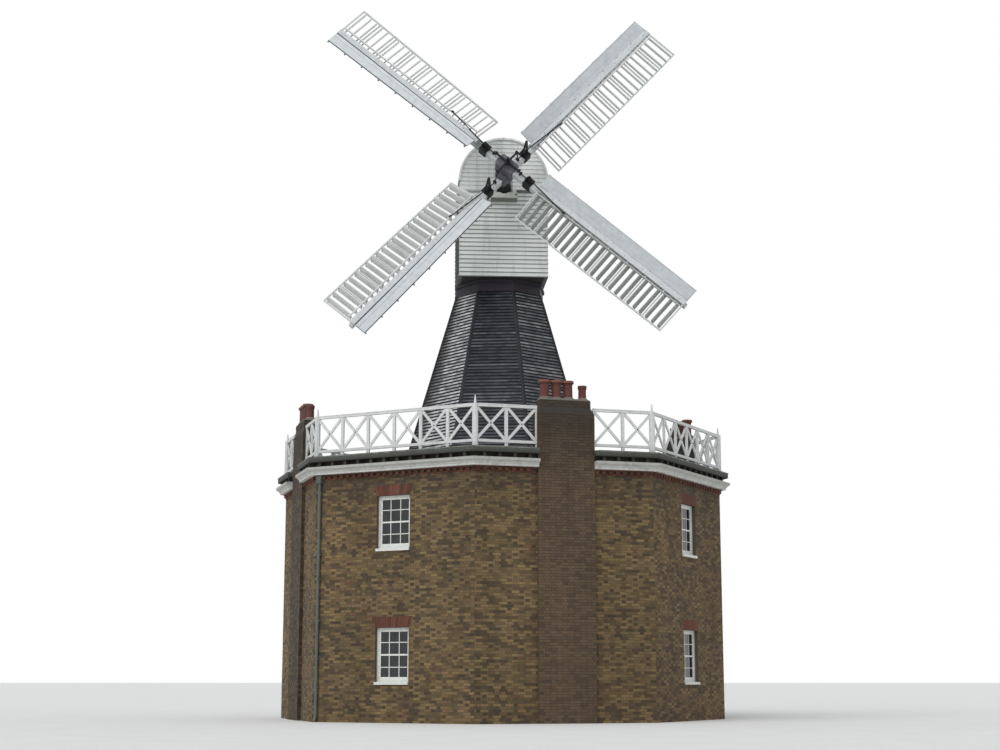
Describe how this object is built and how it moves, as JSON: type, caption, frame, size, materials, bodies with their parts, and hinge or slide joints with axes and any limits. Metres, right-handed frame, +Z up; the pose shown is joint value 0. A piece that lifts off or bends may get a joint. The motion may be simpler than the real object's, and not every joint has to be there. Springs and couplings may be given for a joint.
{
  "type": "windmill",
  "caption": "Traditional smock windmill: brick octagonal base with chimneys and railed gallery, boarded tower, arched cap and patent sails.",
  "frame": {"origin": "on the ground, on the vertical axis of the mill", "axes": "+Z up; a corner of the brick base points along -Y, and the sails face -Y, turned 9.5 degrees towards +X"},
  "size_m": [13.8546, 13.8546, 21.2555],
  "materials": {
    "brick": "yellow-brown stock brick in lime mortar, matt",
    "stack_brick": "sooty yellow-brown brick, matt",
    "floor_stone": "worn flagstone, matt",
    "floor_boards": "bare old pine, matt",
    "deck_boards": "weathered grey boards, matt",
    "white_paint": "white gloss paint on timber, weathered",
    "door_paint": "dark green paint on timber",
    "tarred_boards": "black tarred weatherboard, part glossy",
    "cap_boards": "white painted weatherboard, weathered",
    "sail_timber": "white painted timber, greyed",
    "shutter_cloth": "painted shutters of thin timber, greyed",
    "black_iron": "black painted cast and wrought iron",
    "grey_iron": "grey painted cast iron",
    "red_clay": "red clay with pale rims, matt",
    "window_glass": "clear window glass"
  },
  "bodies": {
    "mill": {"ground_floor": "floor_stone", "base_walls_plain": "brick", "base_walls_chimney": "brick", "first_floor": "floor_boards", "window_frames": "white_paint", "window_glass": "window_glass", "base_door": "door_paint", "cornice": "white_paint", "downpipes": "grey_iron", "chimney_stacks": "stack_brick", "chimney_pots": "red_clay", "gallery_deck": "deck_boards", "railing_long": "white_paint", "railing_short": "white_paint", "railing_posts": "white_paint", "tower_walls_square": "tarred_boards", "tower_walls_diagonal": "tarred_boards", "tower_corner_boards": "tarred_boards", "tower_door": "tarred_boards", "tower_curb": "tarred_boards"},
    "cap": {"cap_floor": "floor_boards", "cap_front": "cap_boards", "cap_rear": "cap_boards", "cap_left_side": "cap_boards", "cap_right_side": "cap_boards", "cap_roof": "cap_boards", "breast_beam": "cap_boards", "shaft_bearings": "floor_boards"},
    "sails": {"windshaft": "black_iron", "poll_end": "black_iron", "outer_stock": "sail_timber", "inner_stock": "sail_timber", "striking_gear": "black_iron", "sail_frame_1": "sail_timber", "sail_frame_2": "sail_timber", "sail_frame_3": "sail_timber", "sail_frame_4": "sail_timber", "leading_board_1": "sail_timber", "leading_board_2": "sail_timber", "leading_board_3": "sail_timber", "leading_board_4": "sail_timber", "shutters_1": "shutter_cloth", "shutters_2": "shutter_cloth", "shutters_3": "shutter_cloth", "shutters_4": "shutter_cloth"}
  },
  "joints": [
    {"name": "cap_turn", "type": "hinge", "parent": "mill", "child": "cap", "pos_m": [0, 0, 13.065], "axis": [0, 0, 1], "continuous": true},
    {"name": "sails_turn", "type": "hinge", "parent": "cap", "child": "sails", "pos_m": [0.47039, -2.81091, 16], "axis": [0.1613, -0.9636, 0.213], "continuous": true}
  ]
}
